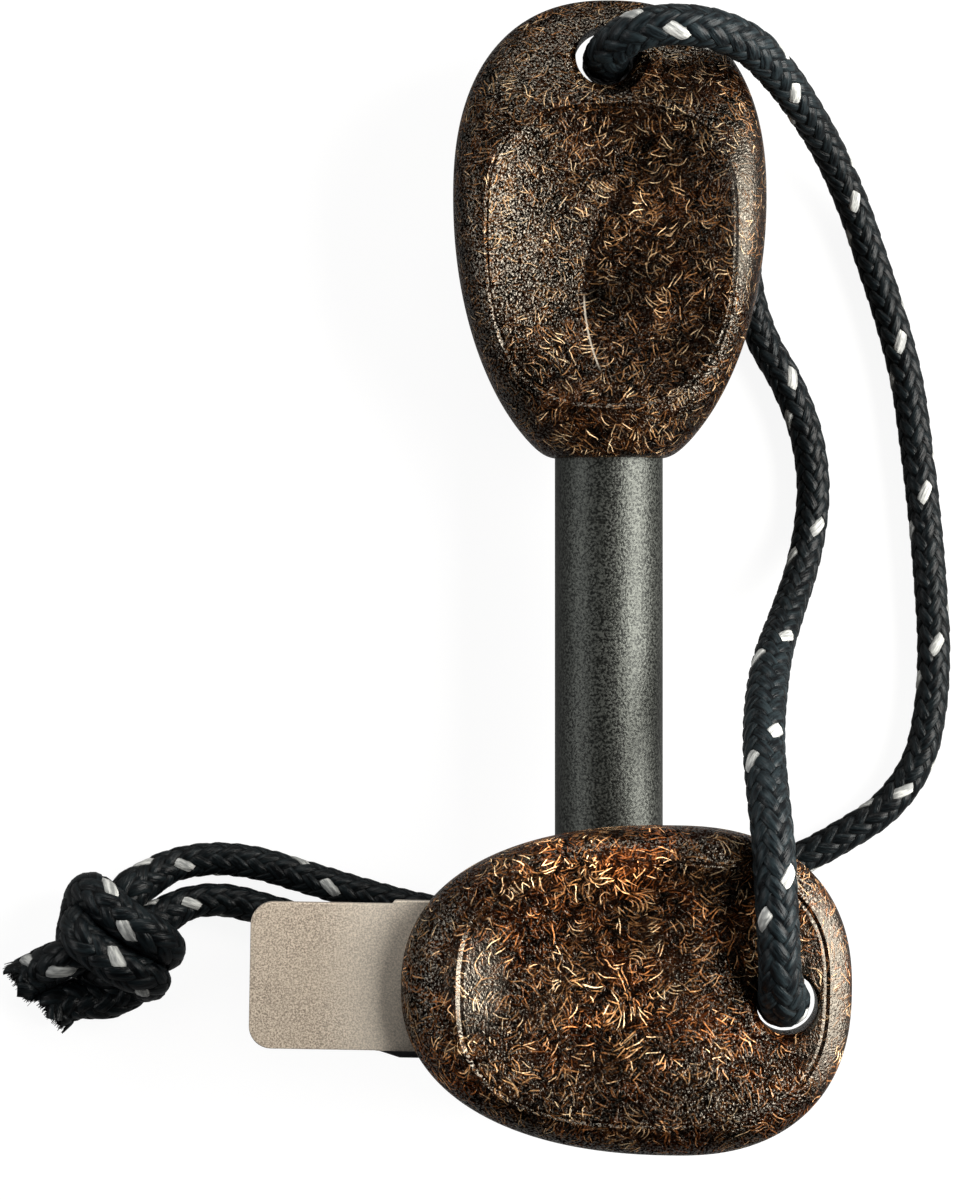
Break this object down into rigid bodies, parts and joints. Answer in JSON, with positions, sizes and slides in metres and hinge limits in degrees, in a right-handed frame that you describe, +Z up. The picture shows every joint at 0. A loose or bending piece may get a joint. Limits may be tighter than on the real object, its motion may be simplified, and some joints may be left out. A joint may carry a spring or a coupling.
{
  "type": "ferro rod fire starter",
  "caption": "Pocket fire starter: a ferrocerium rod in an egg-shaped fibre-filled grip, tethered by a knotted braided cord to a scraper blade in a matching grip.",
  "frame": {"origin": "on the table that the set lies on, at the middle of the rigid pieces", "axes": "+Z up from the table; +Y along the rod, from its free end towards its grip; +X to the right, towards the striker's lanyard end"},
  "size_m": [0.0842, 0.1004, 0.0285],
  "materials": {
    "grip": "semi-gloss brown bio-composite with dense pale golden and orange plant fibres",
    "ferrocerium": "matte dark grey with a fine speckle",
    "blade_steel": "fine bead-blasted matte, warm grey",
    "cord": "black braid with pale grey reflective tracer yarns"
  },
  "bodies": {
    "firesteel": {"rod_grip": "grip", "ferro_rod": "ferrocerium"},
    "lanyard": {"cord_outer_run": "cord", "cord_inner_run": "cord", "cord_return_run": "cord", "cord_knot": "cord", "cord_end_upper": "cord", "cord_end_lower": "cord"},
    "striker": {"striker_grip": "grip", "striker_blade": "blade_steel"}
  },
  "joints": [
    {"name": "lanyard_swing", "type": "hinge", "parent": "firesteel", "child": "lanyard", "pos_m": [0.0049, 0.045, 0.0088], "axis": [0, 0, 1], "range_deg": [0, 20]},
    {"name": "striker_swing", "type": "hinge", "parent": "lanyard", "child": "striker", "pos_m": [0.0201, -0.0369, 0.0206], "axis": [0, 0, 1], "range_deg": [0, 120]}
  ]
}
